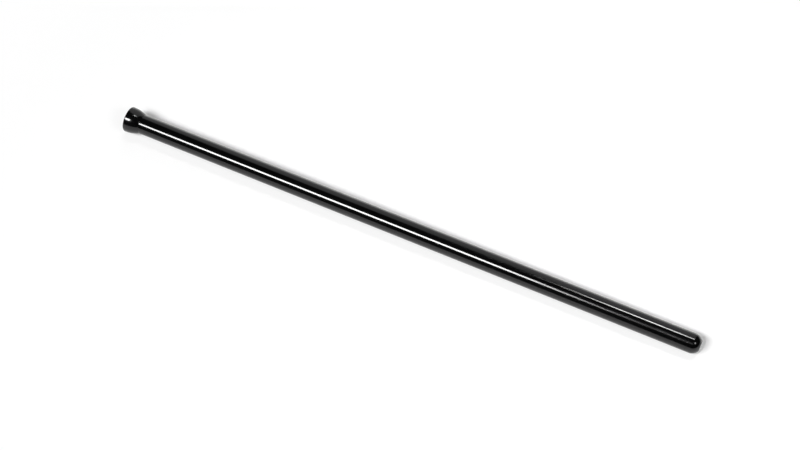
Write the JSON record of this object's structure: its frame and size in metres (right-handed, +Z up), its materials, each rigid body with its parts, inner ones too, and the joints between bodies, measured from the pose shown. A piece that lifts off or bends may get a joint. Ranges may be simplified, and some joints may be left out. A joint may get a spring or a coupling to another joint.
{
  "type": "engine pushrod",
  "caption": "Black steel engine pushrod: a straight tube with a crowned spherical socket pressed into one end and a flat-nosed ball pressed into the other.",
  "frame": {"origin": "on the floor under the middle of the rod, which lies on its side on its socket's crown and its ball's collar", "axes": "+X along the rod from the socket to the ball, leaning 0.3 degrees down as it rests; +Z up; +Y across the rod"},
  "size_m": [0.297, 0.0126, 0.0127],
  "materials": {
    "tube_finish": "gloss black finish on drawn steel tube",
    "end_finish": "gloss black finish on hardened, turned steel"
  },
  "bodies": {
    "root": {"tube": "tube_finish", "socket_end": "end_finish", "ball_end": "end_finish"}
  },
  "joints": []
}
